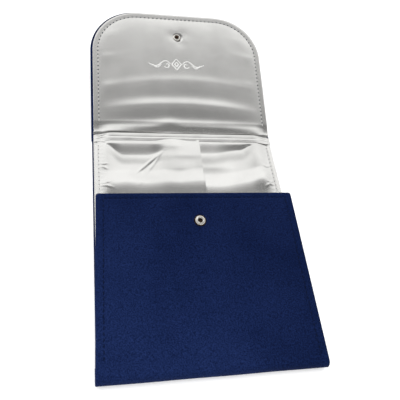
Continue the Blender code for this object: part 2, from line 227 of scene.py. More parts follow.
def add_object(name, verts, faces, material):
    mesh = bpy.data.meshes.new(name)
    mesh.from_pydata([tuple(v) for v in verts], [], faces)
    mesh.validate()
    mesh.materials.append(material)
    mesh.shade_smooth()
    return put(name, mesh)


def grid_faces(rows, columns, around=False):
    """Quads over a grid of points that is stored row by row. Its rows are rings where around is set."""
    faces = []
    for a in range(0, (rows - 1) * columns, columns):
        b = a + columns
        for j in range(columns if around else columns - 1):
            k = (j + 1) % columns
            faces.append((a + j, a + k, b + k, b + j))
    return faces


def placed(points, placing):
    """Points of one flat frame, in the row frame."""
    matrix = np.array(placing)
    return points @ matrix[:3, :3].T + matrix[:3, 3]


def thicken(obj, thickness, offset):
    """Gives a sheet its thickness, to one side of it where offset is -1 or 1."""
    solidify = obj.modifiers.new("thickness", "SOLIDIFY")
    solidify.thickness = thickness
    solidify.offset = offset
    solidify.use_even_offset = False
    bpy.context.view_layer.update()
    graph = bpy.context.evaluated_depsgraph_get()
    mesh = bpy.data.meshes.new_from_object(obj.evaluated_get(graph), depsgraph=graph)
    obj.modifiers.clear()
    old = obj.data
    obj.data = mesh
    bpy.data.meshes.remove(old)
    mesh.name = obj.name


def rounded_half(y, half, length, radius):
    """Half the width of a panel with two round corners at its far end."""
    into = np.clip(y - (length - radius), 0.0, radius)
    return half - radius + np.sqrt(np.maximum(radius**2 - into**2, 0.0))


def inside_distance(x, y, half, length, radius):
    """How far a point lies inside the sides and the round far end of a panel."""
    over_x = np.maximum(np.abs(x) - (half - radius), 0.0)
    over_y = np.maximum(y - (length - radius), 0.0)
    corner = radius - np.hypot(over_x, over_y)
    return np.where((over_x > 0) & (over_y > 0), corner, np.minimum(half - np.abs(x), length - y))


def tube(path, radii, up, sides=6):
    """A closed tube along a path, with a radius at each of its points."""
    path = np.asarray(path, float)
    ahead = np.gradient(path, axis=0)
    ahead /= np.linalg.norm(ahead, axis=1)[:, None]
    across = np.cross(ahead, np.broadcast_to(up, path.shape))
    across /= np.linalg.norm(across, axis=1)[:, None]
    over = np.cross(across, ahead)
    turns = 2 * pi * np.arange(sides) / sides
    ring = across[:, None] * np.cos(turns)[None, :, None] + over[:, None] * np.sin(turns)[None, :, None]
    points = path[:, None] + ring * np.asarray(radii)[:, None, None]
    faces = grid_faces(len(path), sides, around=True)
    last = (len(path) - 1) * sides
    faces.append(tuple(reversed(range(sides))))
    faces.append(tuple(range(last, last + sides)))
    return points.reshape(-1, 3), faces


def join_shapes(name, shapes, material):
    """Several (points, faces) shapes as one object."""
    points, faces, start = [], [], 0
    for shape_points, shape_faces in shapes:
        points.append(shape_points)
        faces += [tuple(start + i for i in face) for face in shape_faces]
        start += len(shape_points)
    return add_object(name, np.concatenate(points), faces, material)


def along_path(path, spots):
    """The points at some distances along a line of points."""
    steps = np.linalg.norm(np.diff(path, axis=0), axis=1)
    passed = np.concatenate([[0.0], np.cumsum(steps)])
    return np.stack([np.interp(spots, passed, path[:, axis]) for axis in range(3)], 1), passed[-1]


def build_stitches(name, path, up, material, radius=0.27 * MM):
    """A row of stitches: each is a short thread that dips into the cloth at both ends."""
    total = along_path(path, [0.0])[1]
    shapes = []
    for middle in np.arange(STITCH_PITCH / 2, total - STITCH_PITCH / 2, STITCH_PITCH):
        share = np.linspace(-1, 1, 7)
        points = along_path(path, middle + share * STITCH_LENGTH / 2)[0]
        points = points + np.outer(0.30 * MM * (1 - share**2) - 0.12 * MM, up)
        shapes.append(tube(points, radius * (1 - 0.45 * share**4), up))
    return join_shapes(name, shapes, material)


def build_needle_holes(name, path, up, material, radius):
    """Dark loops of thread at the needle holes: painted shade for the holes where the stitches go through."""
    total = along_path(path, [0.0])[1]
    shapes = []
    share = np.linspace(-1, 1, 5)
    for middle in np.arange(STITCH_PITCH, total - STITCH_PITCH / 2, STITCH_PITCH):
        points = along_path(path, middle + share * radius)[0]
        shapes.append(tube(points, radius * np.sqrt(np.maximum(1 - share**2, 0.12)) * 0.8, up))
    return join_shapes(name, shapes, material)


def arc_points(radius, height, size, start, end, count=7):
    """A stretch of a turned profile that is round, from one angle in degrees to another."""
    angles = np.radians(np.linspace(start, end, count))
    return [(radius + size * math.cos(a), height + size * math.sin(a)) for a in angles]


def turned(name, profile, center, placing, material, closed=False, steps=72, knurl=None):
    """A turned piece about a panel's normal. profile is (radius, height) in mm, from the outer face."""
    turns = 2 * pi * np.arange(steps) / steps
    ring = np.array(profile) * MM
    radius = np.repeat(ring[:, 0][:, None], steps, 1)
    if knurl is not None:
        count, depth, beyond = knurl
        rim = radius > beyond * MM
        radius = radius - rim * depth * MM * (0.5 + 0.5 * np.cos(count * turns))[None]
    x = radius * np.cos(turns) + center[0]
    y = radius * np.sin(turns) + center[1]
    z = np.repeat(ring[:, 1][:, None], steps, 1)
    faces = []
    rows = len(profile)
    for i in range(rows if closed else rows - 1):
        for j in range(steps):
            a, b = i * steps, (i + 1) % rows * steps
            k = (j + 1) % steps
            faces.append((a + j, b + j, b + k, a + k))
    points = placed(stacked(x, y, z), placing)
    obj = add_object(name, points, faces, material)
    form = bmesh.new()
    form.from_mesh(obj.data)
    bmesh.ops.remove_doubles(form, verts=form.verts, dist=0.001 * MM)
    bmesh.ops.recalc_face_normals(form, faces=form.faces)
    form.to_mesh(obj.data)
    form.free()
    return obj


# -------- materials


def new_material(name, **inputs):
    """A Principled material, its node tree and its shader."""
    material = bpy.data.materials.new(name)
    material.use_nodes = True
    tree = material.node_tree
    shader = tree.nodes["Principled BSDF"]
    for socket, value in inputs.items():
        shader.inputs[socket.replace("_", " ")].default_value = value
    return material, tree, shader


def add_node(tree, kind, links=(), **settings):
    """A node with its settings, and links given as (socket to set, where from)."""
    node = tree.nodes.new("ShaderNode" + kind)
    for key, value in settings.items():
        if hasattr(node, key):
            setattr(node, key, value)
        else:
            node.inputs[key.replace("_", " ")].default_value = value
    for socket, source in links:
        tree.links.new(source, node.inputs[socket])
    return node


def coordinates(tree, scale=(1.0, 1.0, 1.0)):
    place = add_node(tree, "TexCoord")
    mapping = add_node(tree, "Mapping", [("Vector", place.outputs["Object"])], Scale=scale)
    return mapping.outputs["Vector"]


def color_between(tree, share, low, high, positions=(0.0, 1.0)):
    ramp = tree.nodes.new("ShaderNodeValToRGB")
    ramp.color_ramp.elements[0].position = positions[0]
    ramp.color_ramp.elements[1].position = positions[1]
    ramp.color_ramp.elements[0].color = (*low, 1.0)
    ramp.color_ramp.elements[1].color = (*high, 1.0)
    tree.links.new(share, ramp.inputs["Fac"])
    return ramp.outputs["Color"]


def mixed(tree, share, a, b, blend_type="MIX"):
    mix = tree.nodes.new("ShaderNodeMix")
    mix.data_type = "RGBA"
    mix.blend_type = blend_type
    if isinstance(share, float):
        mix.inputs[0].default_value = share
    else:
        tree.links.new(share, mix.inputs[0])
    for socket, value in ((mix.inputs[6], a), (mix.inputs[7], b)):
        if isinstance(value, tuple):
            socket.default_value = (*value, 1.0)
        else:
            tree.links.new(value, socket)
    return mix.outputs[2]


def map_range(tree, value, **settings):
    return add_node(tree, "MapRange", [("Value", value)], **settings).outputs["Result"]


def calculated(tree, operation, *values, **settings):
    node = add_node(tree, "Math", list(enumerate(values)), operation=operation, **settings)
    return node.outputs["Value"]


def paint(tree, shader, share, low, high, positions=(0.0, 1.0)):
    """Gives a shader a colour between two, by a share."""
    tree.links.new(color_between(tree, share, low, high, positions), shader.inputs["Base Color"])


def noise(tree, vector, scale, detail=2.0, roughness=0.5):
    node = add_node(
        tree, "TexNoise", [("Vector", vector)], Scale=scale, Detail=detail, Roughness=roughness
    )
    return node.outputs["Fac"]


def bump(tree, shader, height, strength, distance):
    """Adds a bump on top of those that the shader has."""
    node = add_node(tree, "Bump", [("Height", height)], Strength=strength, Distance=distance)
    previous = shader.inputs["Normal"].links
    if previous:
        tree.links.new(previous[0].from_socket, node.inputs["Normal"])
    tree.links.new(node.outputs["Normal"], shader.inputs["Normal"])


def make_suede():
    """Brushed microfibre: a dark grain, paler in brushed patches and towards its lower left."""
    material, tree, shader = new_material(
        "navy_suede", Roughness=0.92, Sheen_Weight=0.05, Sheen_Roughness=0.45, Specular_IOR_Level=0.08
    )
    shader.inputs["Sheen Tint"].default_value = (0.30, 0.42, 0.95, 1.0)
    place = coordinates(tree)
    grain = noise(tree, place, 1100.0, 3.0, 0.65)
    patches = noise(tree, place, 22.0, 2.0, 0.5)
    dark = color_between(tree, grain, (0.0011, 0.0034, 0.018), (0.0046, 0.0120, 0.055), (0.36, 0.66))
    pale = color_between(tree, grain, (0.0037, 0.0094, 0.042), (0.0138, 0.0285, 0.108), (0.36, 0.66))
    parts = add_node(tree, "SeparateXYZ", [("Vector", place)])
    # Paler towards the lower left: a share that grows as x plus y falls.
    x_plus_y = calculated(tree, "ADD", parts.outputs["Y"], parts.outputs["X"])
    paler_lower_left = map_range(
        tree, x_plus_y, interpolation_type="SMOOTHSTEP", From_Min=0.0, From_Max=-0.24, To_Min=-0.10, To_Max=0.62
    )
    brushed = map_range(tree, patches, From_Min=0.35, From_Max=0.68, To_Max=0.30)
    share = calculated(tree, "ADD", brushed, paler_lower_left, use_clamp=True)
    tree.links.new(mixed(tree, share, dark, pale), shader.inputs["Base Color"])
    bump(tree, shader, grain, 0.55, 0.35 * MM)
    bump(tree, shader, noise(tree, place, 380.0, 2.0), 0.30, 0.5 * MM)
    return material


def make_satin(name, tint, metallic=0.9):
    """Satin: a bright smooth cloth with fine threads across it."""
    material, tree, shader = new_material(name, Roughness=0.24, Metallic=metallic, Specular_IOR_Level=0.5)
    place = coordinates(tree)
    threads = noise(tree, coordinates(tree, (0.25, 3.0, 1.0)), 2600.0, 2.0, 0.6)
    shade = noise(tree, place, 45.0, 2.0)
    low = tuple(0.93 * channel for channel in tint)
    paint(tree, shader, shade, low, tint, (0.35, 0.65))
    bump(tree, shader, threads, 0.10, 0.05 * MM)
    return material


def make_thread(name, low, high):
    material, tree, shader = new_material(name, Roughness=0.8, Specular_IOR_Level=0.12)
    twist = noise(tree, coordinates(tree), 3500.0, 1.0)
    paint(tree, shader, twist, low, high, (0.3, 0.7))
    bump(tree, shader, twist, 0.5, 0.1 * MM)
    return material


def make_metal(name, low, high, roughness, metallic=1.0):
    """Plated metal with a faint brushing and darker, tarnished patches."""
    material, tree, shader = new_material(name, Metallic=metallic, Roughness=roughness)
    place = coordinates(tree)
    tarnish = noise(tree, place, 900.0, 3.0, 0.6)
    paint(tree, shader, tarnish, low, high, (0.35, 0.6))
    rough = map_range(tree, tarnish, To_Min=roughness + 0.12, To_Max=roughness - 0.06)
    tree.links.new(rough, shader.inputs["Roughness"])
    bump(tree, shader, noise(tree, place, 4000.0, 1.0), 0.05, 0.05 * MM)
    return material


def make_board():
    material, tree, shader = new_material("grey_board", Roughness=0.85)
    fibres = noise(tree, coordinates(tree, (1.0, 4.0, 4.0)), 500.0, 3.0, 0.7)
    paint(tree, shader, fibres, (0.30, 0.28, 0.25), (0.46, 0.44, 0.40), (0.3, 0.7))
    bump(tree, shader, fibres, 0.4, 0.1 * MM)
    return material


def make_foam():
    material, tree, shader = new_material("white_foam", Roughness=0.95)
    voronoi = add_node(tree, "TexVoronoi", [("Vector", coordinates(tree))], Scale=1400.0)
    cells = voronoi.outputs["Distance"]
    paint(tree, shader, cells, (0.55, 0.54, 0.50), (0.86, 0.85, 0.81), (0.0, 0.5))
    bump(tree, shader, cells, 0.6, 0.3 * MM)
    return material


suede = make_suede()
satin = make_satin("silver_satin", (0.80, 0.795, 0.775))
# Navy thread for the front's stitches and the bar tacks; the same colour is painted shade at the needle
# holes.
navy_thread_and_hole_shade = make_thread("navy_thread_and_hole_shade", (0.001, 0.003, 0.012), (0.005, 0.010, 0.034))
white_thread = make_thread("white_thread", (0.52, 0.52, 0.50), (0.70, 0.70, 0.68))
nickel = make_metal("nickel", (0.78, 0.74, 0.66), (0.98, 0.96, 0.91), 0.20, 0.72)
# Near-black metal: painted shade in the snap's grooves, hollow and hole, and round the socket.
painted_shade_metal = make_metal("painted_shade_metal", (0.02, 0.012, 0.008), (0.08, 0.05, 0.035), 0.45)
foil = make_satin("silver_relief", (0.88, 0.88, 0.86), metallic=0.35)
board = make_board()
foam = make_foam()


# -------- suede covers


def tray(rows, columns, edge, profile):
    """A sheet with its sides and its far end turned up and in, as (x, y, z) with z from the outer face.

    rows counts the rows along y. edge(row, inset) gives half the width and the y of a row, for an outline
    that is inset from the true one. columns are shares from -1 to 1. profile lists (inset, height).
    """
    inset, height = profile[0]
    points = []
    for row in range(rows):
        half, y = edge(row, inset)
        points += [(share * half, y, height) for share in columns]
    faces = [tuple(reversed(face)) for face in grid_faces(rows, len(columns))]
    count = len(columns)
    rim = [(row, -1.0) for row in range(rows)]
    rim += [(rows - 1, share) for share in columns[1:-1]]
    rim += [(row, 1.0) for row in reversed(range(rows))]
    ring = [row * count for row in range(rows)]
    ring += [(rows - 1) * count + j for j in range(1, count - 1)]
    ring += [row * count + count - 1 for row in reversed(range(rows))]
    for inset, height in profile[1:]:
        start = len(points)
        for row, share in rim:
            half, y = edge(row, inset)
            points.append((share * half, y, height))
        new = list(range(start, start + len(rim)))
        for a, b, c, d in zip(ring, ring[1:], new[1:], new):
            faces.append((b, a, d, c))
        ring = new
    return np.array(points), faces


def rim_profile(radius, height, turn_in):
    """From the outer face round the edge of the board and in under the lining."""
    points = []
    for step in range(5):
        angle = pi / 2 * step / 4
        points.append((radius - radius * math.sin(angle), radius - radius * math.cos(angle)))
    for step in range(5):
        angle = pi / 2 * step / 4
        points.append((radius - radius * math.cos(angle), height - radius + radius * math.sin(angle)))
    return points + [(turn_in, height)]


def build_back_and_flap_cover():
    """The suede from the bottom seam over the back, across the fold and round the flap."""
    straight = runs(
        (back_low[1], BACK_LENGTH - 12 * MM, 4 * MM),
        (BACK_LENGTH - 12 * MM, BACK_LENGTH + 12 * MM, 0.5 * MM),
        (BACK_LENGTH + 12 * MM, BACK_LENGTH + FLAP_LENGTH - FLAP_RADIUS, 4 * MM),
    )
    arc = np.linspace(0.0, pi / 2, 36)
    total = BACK_LENGTH + FLAP_LENGTH

    def edge(row, inset):
        if row < len(straight):
            wider = smooth((straight[row] - back_high[1] + 0.5 * MM) / MM)
            return HALF_WIDTH - BACK_NARROWER * (1 - wider) - inset, straight[row]
        angle = arc[row - len(straight)]
        reach = FLAP_RADIUS - inset
        half = HALF_WIDTH - FLAP_RADIUS + reach * math.cos(angle)
        return half, total - FLAP_RADIUS + reach * math.sin(angle)

    profile = rim_profile(SUEDE_ROUNDING, TURNED_EDGE, TURN_IN)
    points, faces = tray(len(straight) + len(arc), np.linspace(-1, 1, 67), edge, profile)
    points = fold_over_flap(points)
    cover = add_object("back_and_flap_suede", points, faces, suede)
    thicken(cover, SUEDE, -1.0)
    return cover


def fold_over_flap(points):
    """Points along the back and on along the flap, as if flat, put where the open flap is."""
    run = points[:, 1] - BACK_LENGTH
    turn = FLAP_ANGLE * smooth(run / FOLD_LENGTH)
    drop = points[:, 2] - flap_hinge.z
    y = flap_hinge.y + run * np.cos(turn) - drop * np.sin(turn)
    z = flap_hinge.z + run * np.sin(turn) + drop * np.cos(turn)
    return np.stack([points[:, 0], y, z], 1)


def front_point(points):
    """Points of the front, whose y runs on round the bottom fold and under the back, in the row frame."""
    x, y, depth = points.T
    sweep = pi * FOLD_RADIUS
    run = y - FOLD_RADIUS
    turned = np.clip(-run, 0.0, sweep) / FOLD_RADIUS
    share = smooth(turned / pi)
    angle = pi / 2 + turned + FRONT_ANGLE * (1 - share)
    radius = FOLD_RADIUS - depth
    beyond = np.maximum(run, 0.0)
    under = np.maximum(-run - sweep, 0.0)
    new_y = front_hinge.y + radius * np.cos(angle) + beyond * math.cos(FRONT_ANGLE) + under
    new_z = front_hinge.z + radius * np.sin(angle) + beyond * math.sin(FRONT_ANGLE)
    return np.stack([x, new_y, new_z], 1)


def front_half(y):
    """Half the front's width, which narrows from the bottom fold to the mouth."""
    return HALF_WIDTH - FRONT_MOUTH_INSET * y / FRONT_LENGTH


def front_relief(x, y):
    """How far the padded front stands in from its flat outer face: its seams, the snap's dimple, a crease."""
    side = front_half(y) - np.abs(x) - STITCH_INSET
    top = FRONT_LENGTH - y - MOUTH_STITCH_INSET
    depth = 0.45 * MM * hump(side, 0.9 * MM) * (y > 0)
    depth = np.maximum(depth, 0.75 * MM * hump(top, 0.9 * MM) * (side > -MM))
    away = np.hypot(x, y - SOCKET_REACH)
    depth = depth + 0.40 * MM * hump(away, 9 * MM) + 0.75 * MM * (1 - smooth((away - 4.3 * MM) / (1.3 * MM)))
    depth += crease(x, y, [(-13, 132), (-8, 125), (-5, 120)], 1.3, 0.35)
    depth += 0.10 * MM * (1 + drift(x, y, 55 * MM, 4))
    return depth


def build_front_cover():
    """The suede from the seam under the back, round the bottom fold and up to the mouth."""
    under = back_low[1] - FOLD_RADIUS
    start = FOLD_RADIUS - pi * FOLD_RADIUS - under
    corner = 2.0 * MM
    straight = runs(
        (start, 2 * FOLD_RADIUS, 0.7 * MM),
        (2 * FOLD_RADIUS, SOCKET_REACH - 8 * MM, 1.6 * MM),
        (SOCKET_REACH - 8 * MM, SOCKET_REACH + 8 * MM, 0.5 * MM),
        (SOCKET_REACH + 8 * MM, FRONT_LENGTH - 10 * MM, 0.8 * MM),
        (FRONT_LENGTH - 10 * MM, FRONT_LENGTH - corner, 0.6 * MM),
    )
    arc = np.linspace(0.0, pi / 2, 8)

    def edge(row, inset):
        if row < len(straight):
            return front_half(max(straight[row], 0.0)) - inset, straight[row]
        angle = arc[row - len(straight)]
        reach = corner - inset
        half = front_half(FRONT_LENGTH) - corner + reach * math.cos(angle)
        return half, FRONT_LENGTH - corner + reach * math.sin(angle)

    profile = rim_profile(SUEDE_ROUNDING, TURNED_EDGE, TURN_IN)
    count = len(straight) + len(arc)
    columns = spaced(-1.0, 1.0, 0.018, 0.008, 0.11)
    columns = np.concatenate([columns[columns < -0.1], np.linspace(-0.1, 0.1, 33), columns[columns > 0.1]])
    points, faces = tray(count, columns, edge, profile)
    face_points = points[: count * len(columns)]
    face_points[:, 2] += front_relief(face_points[:, 0], face_points[:, 1])
    points = front_point(points)
    faces = [tuple(reversed(face)) for face in faces]
    cover = add_object("front_suede", points, faces, suede)
    thicken(cover, SUEDE, -1.0)
    return cover


# -------- satin


# Where the flap's seam pulls the satin in, as (x, y) in mm
SEAM_PULLS = ((-74, 100), (-76, 74), (-76, 44), (74, 98), (76, 80), (76, 50))

# Small creases at the pockets' side seams, as lines of (x, y) in mm
PUCKERS = (
    [(-76.5, 178), (-73, 176.5), (-68.5, 177)],
    [(-76.5, 174), (-73, 173.5), (-69, 171)],
    [(-76.5, 158), (-72, 157), (-66, 158.5)],
    [(-76.5, 155), (-71, 154.5), (-65, 152)],
    [(-76, 203), (-72, 200), (-70, 200)],
    [(75.5, 176), (72, 175), (69, 177)],
    [(75.5, 160), (72.5, 158), (69, 159.5)],
    [(75.5, 156), (71, 156.5), (66, 153)],
)


def satin_sheet(name, points, rows, columns, offset=-1.0):
    """A sheet of satin over a grid of points."""
    sheet = add_object(name, points, grid_faces(len(rows), len(columns)), satin)
    thicken(sheet, SATIN, offset)
    return sheet


def flap_satin_height(x, y):
    """The flap's padded lining: a stitched border, and ripples across it that grow towards the fold."""
    inside = inside_distance(x, y, HALF_WIDTH - SATIN_INSET, FLAP_LENGTH - SATIN_INSET, FLAP_RADIUS)
    past = inside - (STITCH_INSET - SATIN_INSET)
    height = np.full(np.shape(x), LINING_TOP)
    height += 0.12 * MM * smooth(-past / (4 * MM)) - 0.2 * MM * hump(inside, 0.5 * MM)
    height -= 0.055 * MM * hump(past, 0.6 * MM)
    puff = np.clip(1 - np.exp(-np.maximum(past, 0.0) / (10 * MM)), 0, 1)
    height += 1.2 * MM * puff
    across = x / MM
    along = y / MM
    calm = smooth(past / (9 * MM))
    crest_a = 51.5 - 0.0016 * across**2 + 0.015 * across
    height += calm * 0.42 * MM * ridge(along - crest_a, 13.0, 5.0) * smooth((110 - np.abs(across)) / 100)
    crest_b = 26.7 - 0.0012 * across**2
    height += calm * 1.0 * MM * ridge(along - crest_b, 14.0, 5.2) * smooth((86 - np.abs(across)) / 56)
    crest_c = 3.6 - 0.0006 * (across - 8) ** 2 + 1.6 * hump(across + 14, 10.0)
    height += 1.65 * MM * ridge(along - crest_c, 4.5, 5.2) * smooth((81 - np.abs(across)) / 14)
    height -= 0.4 * MM * (1 - smooth(along / 4.5))
    for pull_x, pull_y in SEAM_PULLS:
        reach = smooth((np.sign(pull_x) * across - 44) / (abs(pull_x) - 40))
        bend = pull_y + 0.006 * (across - pull_x) ** 2
        height += calm * 0.22 * MM * reach * ridge(along - bend, 7.0, 3.6)
    away = np.hypot(x, y - STUD_REACH)
    around = np.arctan2(y - STUD_REACH, x)
    height -= 0.50 * MM * hump(away, 9 * MM)
    height += 0.09 * MM * np.cos(3 * around + 0.9) * hump(away - 8 * MM, 4 * MM)
    seat = 1 - smooth((away - 3.9 * MM) / (0.8 * MM))
    height += seat * (LINING_TOP - 0.10 * MM - height)
    height += calm * 0.07 * MM * drift(x * 0.4, y, 60 * MM, 11)
    return height


def build_flap_satin():
    """The satin from just before the fold line over the flap."""
    half = HALF_WIDTH - SATIN_INSET
    length = FLAP_LENGTH - SATIN_INSET
    radius = FLAP_RADIUS - SATIN_INSET
    straight = runs((-1.2 * MM, 16 * MM, 0.45 * MM), (16 * MM, length - radius, 0.8 * MM))
    arc = np.linspace(0.0, pi / 2, 105)
    rows = np.concatenate([straight, length - radius + radius * np.sin(arc)])
    columns = spaced(-1.0, 1.0, 0.009, 0.006, 0.13)
    width = rounded_half(rows, half, length, radius)
    x = np.outer(width, columns)
    y = np.repeat(rows[:, None], len(columns), 1)
    z = flap_satin_height(x, y)
    points = fold_over_flap(stacked(x + SATIN_SHIFT, y + BACK_LENGTH, z))
    return satin_sheet("flap_satin", points, rows, columns)


def pocket_relief(x, y, side):
    """Ripples of a pocket panel above its flat height: dips below the hem, and a bulge above the mouth."""
    across = x / MM
    along = y / MM
    top = HEM_START / MM
    plain = POCKET_RISE * soft_rise(along, 146, top)
    if side == "left":
        dip = smooth((across + 72) / 12) * smooth((-15 - across) / 15)
        foot = 186.2 + 11.5 * smooth((-55 - across) / 17) + 3.5 * smooth((across + 36) / 14)
        end = top - 3.0
        full = 0.32
        second = 0.62 * smooth((along - foot + 10.5) / 8.5) - 0.3
        edge = 153.3 + 1.0 * smooth((across + 30) / 35) + 0.6 * np.sin(across / 5)
        spots = ((-13, 196.0, 9), (-2, 186.0, 17), (-8, 172.5, 10))
    else:
        dip = smooth((63 - across) / 9)
        foot = 188.2 + 4.4 * smooth((across - 22) / 30) + 5.0 * smooth((across - 50) / 10)
        end = top - 2.2
        full = 0.85
        second = 0.85 * smooth((along - foot + 12.0) / 10.5)
        edge = 150.0 + 7.5 * smooth((across - 30) / 38) + 0.5 * np.sin(across / 5)
        spots = ((24, 174.5, 14), (39, 165, 10))
        fuller = 0.6 * smooth((along - 150) / 36)
        plain = plain + fuller
        second = second + fuller
    dipped = second + (POCKET_RISE - full) * soft_rise(along, foot, end)
    height = plain + dip * (dipped - plain)
    for spot_x, spot_y, spot_width in spots:
        height += 0.50 * hump(across - spot_x, spot_width) * ridge(along - spot_y, 4.2, 14.0)
    bulge = smooth((along - edge + 14) / 18)
    rise = 2.15 + 0.35 * smooth((np.abs(across) - 15) / 25)
    height += rise * bulge * (1 - smooth((along - edge - 3) / 15))
    return height * MM * sewn_down(x)


def sewn_down(x):
    """From 1 over the pouch to 0 at the pockets' side seams."""
    return smooth((HALF_WIDTH - POCKET_SIDE - np.abs(x)) / (13 * MM)) ** 0.8


def pocket_height(x, y, side):
    """The face of a pocket panel above the back's outer face."""
    if side == "right":
        under = np.where(x < left_high[0] + 0.2 * MM, pocket_height(x, y, "left") - 0.5 * MM, 1.0)
        return np.minimum(panel_height(x, y, "right", right_high[2]), under)
    return panel_height(x, y, "left", left_high[2])


def panel_height(x, y, side, base):
    """A pocket panel by itself: its ripples, long wrinkles, puckers and stitched border."""
    height = base + pocket_relief(x, y, side)
    if side == "left":
        height += crease(x, y, [(-20, 191), (-38, 175), (-56, 158)], 1.0, 0.42)
        height -= crease(x, y, [(-22, 188), (-37, 173), (-50, 161)], 1.3, 0.25)
        height += crease(x, y, [(-22, 189), (-34, 172), (-43, 155)], 0.9, 0.50)
    for points in PUCKERS:
        height += crease(x, y, points, 0.9, 0.32)
    edge = HALF_WIDTH - STITCH_INSET - np.abs(x)
    height -= 0.07 * MM * hump(edge, 0.6 * MM)
    height += 0.03 * MM * hump(edge - 2.5 * MM, 2 * MM) * np.cos(2 * pi * y / STITCH_PITCH)
    height += 0.06 * MM * drift(x, y, 26 * MM, 21)
    return height


def build_pocket(name, low, high, side):
    """A pocket panel of satin. Its free edge has a narrow hem."""
    mouth = FRONT_LENGTH - 6 * MM
    rows = runs((left_low[1], mouth, 4 * MM), (mouth, left_high[1], 0.6 * MM))
    columns = spaced(low, high, 0.9 * MM, 0.3 * MM, 8 * MM)
    x, y = np.meshgrid(columns, rows)
    z = pocket_height(x, y, side)
    hem = (high - x) if side == "left" else (x - low)
    z = z + 0.25 * MM * smooth((2.6 * MM - hem) / (0.5 * MM))
    return satin_sheet(name, placed(stacked(x, y, z), BACK), rows, columns)


def build_back_lining():
    """The lining under the pockets. Its borders show beside them and are bound in as high as the pockets."""
    rows = np.arange(lining_low[1], lining_high[1], 2 * MM)
    columns = spaced(lining_low[0] + LINING_SHIFT, lining_high[0], 3 * MM, 0.35 * MM, 8 * MM)
    x, y = np.meshgrid(columns, rows)
    side = np.minimum(x - lining_low[0] - LINING_SHIFT, lining_high[0] - x)
    raised = smooth((4.3 * MM - side) / (0.8 * MM))
    z = LINING_TOP + 0.8 * MM * raised - 0.9 * MM * hump(side, 0.8 * MM)
    return satin_sheet("back_satin", placed(stacked(x, y, z), BACK), rows, columns)


def hem_height(x, y):
    """The hem over the pockets' top edges: two folds of satin, a drop, and a slope up to the fold line."""
    along = y / MM
    start = HEM_START / MM
    end = HEM_END / MM
    height = POCKET_RISE + 0.06 * (along - start)
    height = height + 0.16 * ridge(along - start - 3.0, 2.0, 0.6) - 0.10 * hump(along - start - 3.9, 0.5)
    height = height + 0.20 * ridge(along - end + 0.6, 3.0, 0.8) - 0.10 * hump(along - start, 1.6)
    height = left_high[2] + 0.22 * MM + height * MM * sewn_down(x)
    past = along - end
    below = height - LINING_TOP + 0.15 * MM
    height = height - below * smooth(past / 1.1) + 1.5 * MM * np.clip((past - 1.0) / 3.7, 0, 1)
    side = HALF_WIDTH - 1.6 * MM - np.abs(x)
    height -= 0.8 * MM * (1 - smooth(side / (3 * MM)))
    height += 0.05 * MM * drift(x, y * 2, 18 * MM, 31)
    for sign in (-1, 1):
        tuck = [(sign * 80, start + 3.6), (sign * 74, start + 4.4), (sign * 67, start + 3.8)]
        height += crease(x, y, tuck, 0.7, 0.25)
        tuck = [(sign * 80, start + 6.2), (sign * 75, start + 5.4), (sign * 69, start + 6.2)]
        height -= crease(x, y, tuck, 0.7, 0.25)
    return height


def build_top_hem():
    """The hem, and the length that it was cut to: that of its profile, with its folds laid flat."""
    rows = runs(
        (HEM_START, HEM_END - 0.6 * MM, 0.3 * MM),
        (HEM_END - 0.6 * MM, HEM_END + 1.2 * MM, 0.12 * MM),
        (HEM_END + 1.2 * MM, BACK_LENGTH - 0.8 * MM, 0.4 * MM),
    )
    columns = spaced(-HALF_WIDTH + 1.8 * MM, HALF_WIDTH - 0.9 * MM, 1.0 * MM, 0.5 * MM, 10 * MM)
    x, y = np.meshgrid(columns, rows)
    z = hem_height(x, y)
    sheet = satin_sheet("top_hem_satin", placed(stacked(x, y, z), BACK), rows, columns)
    steps = np.hypot(np.diff(y, axis=0), np.diff(z, axis=0))
    return sheet, float(np.mean(np.sum(steps, axis=0)))


def build_gusset(side, sign):
    """A side wall of the pouch: satin with one fold that falls inward, a little further at the mouth."""
    finer = FRONT_LENGTH - 12 * MM
    rows = runs((GUSSET_START, finer, 4 * MM), (finer, FRONT_LENGTH, 0.8 * MM))
    share = np.linspace(0, 1, 21)
    y, t = np.meshgrid(rows, share, indexing="ij")
    low = left_high[2] + 0.2 * MM
    high = 2 * FOLD_RADIUS - LINING_TOP - 0.3 * MM + (y - FOLD_RADIUS) * math.tan(FRONT_ANGLE)
    high = np.maximum(high, low + 0.3 * MM)
    inward = 5.5 * MM * np.sin(pi * t) * smooth((y - GUSSET_START) / (90 * MM))
    mouth = smooth((y - FRONT_LENGTH + 10 * MM) / (10 * MM))
    x = sign * (HALF_WIDTH - 4.0 * MM - FRONT_MOUTH_INSET * t * y / FRONT_LENGTH - inward)
    reach = y + mouth * (9 * MM * (1 - t) ** 1.5 + 2.0 * MM * np.sin(pi * t))
    z = low + (high - low) * t
    return satin_sheet(f"{side}_gusset_satin", placed(stacked(x, reach, z), BACK), rows, share, offset=0.0)


def build_front_lining():
    """The satin inside the front, and on round the bottom of the pouch."""
    start = FOLD_RADIUS - pi * FOLD_RADIUS - 6 * MM
    rows = runs((start, 14 * MM, 0.8 * MM), (14 * MM, FRONT_LENGTH - MM, 1.5 * MM))
    shares = spaced(-1.0, 1.0, 0.03, 0.01, 0.08)
    half = HALF_WIDTH - 1.5 * MM - FRONT_MOUTH_INSET * np.maximum(rows, 0) / FRONT_LENGTH
    x = np.outer(half, shares)
    y = np.repeat(rows[:, None], len(shares), 1)
    depth = np.full(x.shape, LINING_TOP)
    depth += 0.25 * MM * drift(x, y, 30 * MM, 41) * smooth((y - 20 * MM) / (20 * MM))
    depth -= 0.4 * MM * hump(FRONT_LENGTH - MM - y, 0.8 * MM)
    return satin_sheet("front_satin", front_point(stacked(x, y, depth)), rows, shares, offset=1.0)


